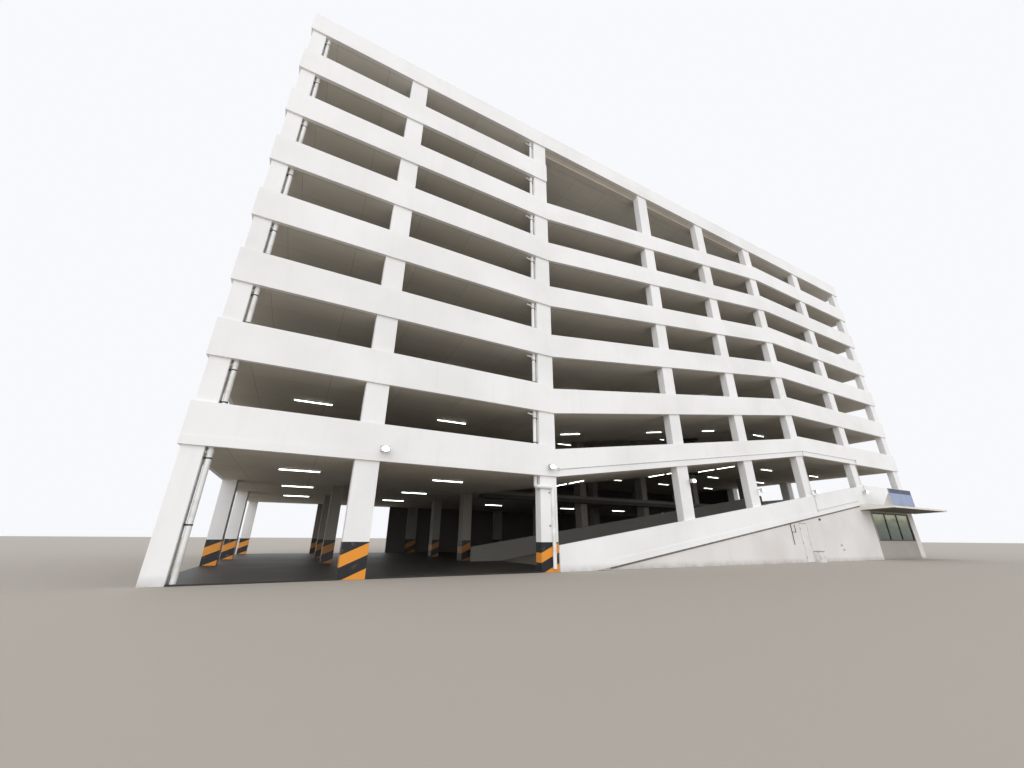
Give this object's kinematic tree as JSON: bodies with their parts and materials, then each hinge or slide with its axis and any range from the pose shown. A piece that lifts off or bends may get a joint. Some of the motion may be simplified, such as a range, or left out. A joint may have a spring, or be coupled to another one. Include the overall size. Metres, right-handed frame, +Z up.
{
  "type": "multi-storey car park, 1:2 scale model",
  "caption": "Open-sided concrete car park at 1:2 scale: level decks, straight front ramps, white parapets, a corner shop and a hinged service door.",
  "frame": {"origin": "middle of the footprint, on the underside of the ground floor", "axes": "+X along the front from left to right, +Y from the front to the back, +Z up"},
  "size_m": [23.4154, 12.1, 12.2],
  "materials": {
    "white_painted_concrete": "painted concrete, matt",
    "deck_concrete": "fair-faced concrete",
    "floor_concrete": "power-floated concrete",
    "white_painted_steel": "satin paint",
    "cabinet_steel": "satin paint",
    "dark_window_frame": "powder coat",
    "window_glass": "tinted float glass",
    "sign_board": "plain sheet",
    "white_plastic_pipe": "extruded",
    "lamp_housing": "die-cast, painted",
    "tube_light": "opal cover"
  },
  "bodies": {
    "structure": {"columns_ground": "white_painted_concrete", "columns_level_1": "white_painted_concrete", "columns_level_2": "white_painted_concrete", "columns_level_3": "white_painted_concrete", "columns_level_4": "white_painted_concrete", "columns_level_5": "white_painted_concrete", "columns_level_6": "white_painted_concrete", "columns_level_7": "white_painted_concrete", "ground_ramp_parapet": "white_painted_concrete", "front_parapet_1": "white_painted_concrete", "front_parapet_2": "white_painted_concrete", "front_parapet_3": "white_painted_concrete", "front_parapet_4": "white_painted_concrete", "front_parapet_5": "white_painted_concrete", "front_parapet_6": "white_painted_concrete", "front_parapet_7": "white_painted_concrete", "roof_parapet_front": "white_painted_concrete", "left_parapets": "white_painted_concrete", "right_parapets": "white_painted_concrete", "rear_parapets": "white_painted_concrete", "ramp_inner_parapets": "white_painted_concrete", "ramp_wall": "white_painted_concrete", "service_door_lintel": "white_painted_concrete", "rear_walls": "white_painted_concrete", "shop_walls": "white_painted_concrete", "shop_canopy": "white_painted_concrete", "edge_beams": "white_painted_concrete", "deck_1": "deck_concrete", "deck_2": "deck_concrete", "deck_3": "deck_concrete", "deck_4": "deck_concrete", "deck_5": "deck_concrete", "deck_6": "deck_concrete", "deck_7": "deck_concrete", "roof_slab": "deck_concrete", "ramp_0": "deck_concrete", "upper_ramps": "deck_concrete", "ground_floor": "floor_concrete", "service_door_frame": "white_painted_steel", "wall_cabinet": "cabinet_steel", "shop_window_frame": "dark_window_frame", "shop_window_glass": "window_glass", "shop_sign": "sign_board", "rainwater_pipes": "white_plastic_pipe", "floodlights": "lamp_housing", "tube_lights": "tube_light"},
    "door_leaf": {"service_door": "white_painted_steel"}
  },
  "joints": [
    {"name": "service_door_hinge", "type": "hinge", "parent": "structure", "child": "door_leaf", "pos_m": [3.52725, -5.566, 0.52], "axis": [0, 0, -1], "range_deg": [0, 110]}
  ]
}
